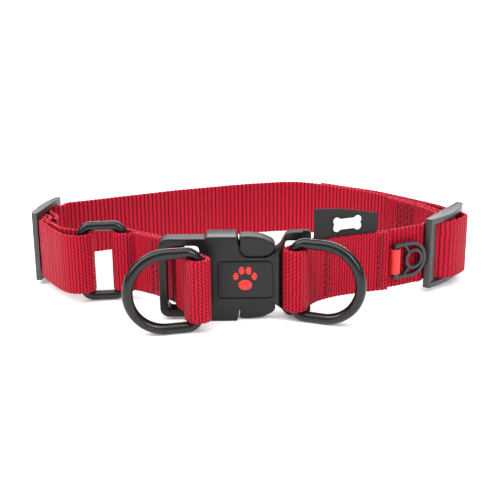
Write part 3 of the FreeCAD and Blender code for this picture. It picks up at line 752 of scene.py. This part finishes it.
def on_label(u, v, depth):
    return plan(38.7 + u * math.cos(bone_turn) + depth * math.sin(bone_turn),
                11.9 + u * math.sin(bone_turn) - depth * math.cos(bone_turn), 34.6 + v)


bone = solid("label_bone", bone_outline, 0.0, 0.28, on_label, label_thread)
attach(bone, "female_side")
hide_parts("label_motif")

# ---- Ribbon and tag ring ------------------------------------------------------------------------------
# A loop of bright red satin ribbon caught in the strap's hem, and the flat black moulded ring that
# hangs in it: a D with a round eye for a tag, held by two struts.
satin = moulded("ribbon_satin", (0.60, 0.014, 0.014), rough=0.38, grain=1800.0, depth=0.00008)
ribbon_line = [(53.5, 17.7), (56.3, 18.3), (57.2, 17.6), (58.1, 16.6), (59.6, 16.3), (61.1, 17.3),
               (61.35, 18.9), (60.4, 20.0), (58.9, 19.95), (57.8, 19.1)]
ribbon = thin_band("tag_ribbon_loop", ribbon_line, 11.3, 10.6, 0.3, satin)
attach(ribbon, "female_side")
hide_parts("tag_ribbon")

tag_plastic = moulded("tag_plastic", (0.014, 0.017, 0.018), rough=0.36, grain=3000.0, depth=0.00003)
tag_turn = math.radians(27.3)


def on_tag(u, v, depth):
    return plan(59.4 + u * math.cos(tag_turn) - depth * math.sin(tag_turn),
                18.2 + u * math.sin(tag_turn) + depth * math.cos(tag_turn), 16.4 + v)


def d_outline(start, half):
    corner = min(1.6, half)
    return [(start, -half + corner)] \
        + arc_points(start + corner, -half + corner, corner, 180, 270, 5)[1:] \
        + arc_points(7.4, 0.0, half, -90, 90, 28) \
        + arc_points(start + corner, half - corner, corner, 90, 180, 5)


tag = solid("tag_ring_plate", d_outline(-1.0, 7.6), -0.9, 0.9, on_tag, tag_plastic)
combine(tag, solid("tool", d_outline(0.6, 6.2), -3, 3, on_tag), "DIFFERENCE")
eye_x = 9.0
eye_rim = arc_points(eye_x, 0.0, 4.35, 0, 350, 35)
combine(tag, solid("tool", eye_rim, -0.85, 0.85, on_tag), "UNION")
for lean in (127.0, 233.0):
    way = math.radians(lean)
    strut = [(eye_x + a * math.cos(way) - b * math.sin(way), a * math.sin(way) + b * math.cos(way))
             for a, b in ((3.9, -0.5), (8.4, -0.5), (8.4, 0.5), (3.9, 0.5))]
    combine(tag, solid("tool", strut, -0.8, 0.8, on_tag), "UNION")
eye = arc_points(eye_x, 0.0, 3.2, 0, 350, 35)
combine(tag, solid("tool", eye, -3, 3, on_tag), "DIFFERENCE")
soften(tag, 0.3, 3, 40)
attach(tag, "tag_ring")
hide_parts("tag_ring")

# ---- Table, light and camera ----------------------------------------------------------------------------
# The closed collar stands on its lower edges on a plain white table, in soft light from overhead,
# with two narrow panels in front and a low strip behind that draw bright lines on the rings.
table_white = bpy.data.materials.new("table_white")
table_white.use_nodes = True
table_skin = table_white.node_tree.nodes["Principled BSDF"]
table_skin.inputs["Base Color"].default_value = (0.93, 0.93, 0.93, 1.0)
table_skin.inputs["Roughness"].default_value = 0.7
table_skin.inputs["Specular IOR Level"].default_value = 0.15
table_skin.inputs["Emission Color"].default_value = (1.0, 1.0, 1.0, 1.0)
table_skin.inputs["Emission Strength"].default_value = 0.2
table_mesh = bpy.data.meshes.new("table")
table_mesh.from_pydata([(-40, -40, 0), (40, -40, 0), (40, 40, 0), (-40, 40, 0)], [], [(0, 1, 2, 3)])
table = added("table", table_mesh, table_white)


def panel(name, where, wide, tall, power):
    """A flat rectangular lamp facing the collar."""
    lamp = bpy.data.lights.new(name, "AREA")
    lamp.shape = "RECTANGLE"
    lamp.size = wide
    lamp.size_y = tall
    lamp.energy = power
    made = bpy.data.objects.new(name, lamp)
    made.location = where
    made.rotation_euler = (Vector((0.0, 0.0, 0.02)) - Vector(where)).to_track_quat("-Z", "Y").to_euler()
    bpy.context.scene.collection.objects.link(made)


panel("left_panel", (-0.50, -0.20, 0.45), wide=0.12, tall=0.45, power=2.6)
panel("right_panel", (0.40, -0.40, 0.42), wide=0.12, tall=0.45, power=2.6)
panel("rear_strip", (0.0, 0.45, 0.32), wide=0.9, tall=0.07, power=3.2)
ceiling = bpy.data.lights.new("ceiling_light", "SUN")
ceiling.energy = 2.4
ceiling.angle = math.radians(60.0)
ceiling_light = bpy.data.objects.new("ceiling_light", ceiling)
ceiling_light.rotation_euler = (math.radians(14.0), math.radians(-6.0), 0.0)
bpy.context.scene.collection.objects.link(ceiling_light)
sky = bpy.data.worlds.new("studio")
sky.use_nodes = True
sky.node_tree.nodes["Background"].inputs["Color"].default_value = (1.0, 1.0, 1.0, 1.0)
sky.node_tree.nodes["Background"].inputs["Strength"].default_value = 0.28
bpy.context.scene.world = sky
bpy.context.scene.view_settings.view_transform = "Standard"

lens = bpy.data.cameras.new("camera")
lens.sensor_width = 36.0
lens.lens = 72.0
lens.clip_start = 0.01
camera = bpy.data.objects.new("camera", lens)
camera.location = plan(0.0, -370.4, 145.85)
camera_dip = 17.71
camera_roll = -0.406
camera.rotation_euler = (Matrix.Rotation(math.radians(90.0 - camera_dip), 3, "X")
                         @ Matrix.Rotation(math.radians(camera_roll), 3, "Z")).to_euler()
bpy.context.scene.collection.objects.link(camera)
bpy.context.scene.camera = camera
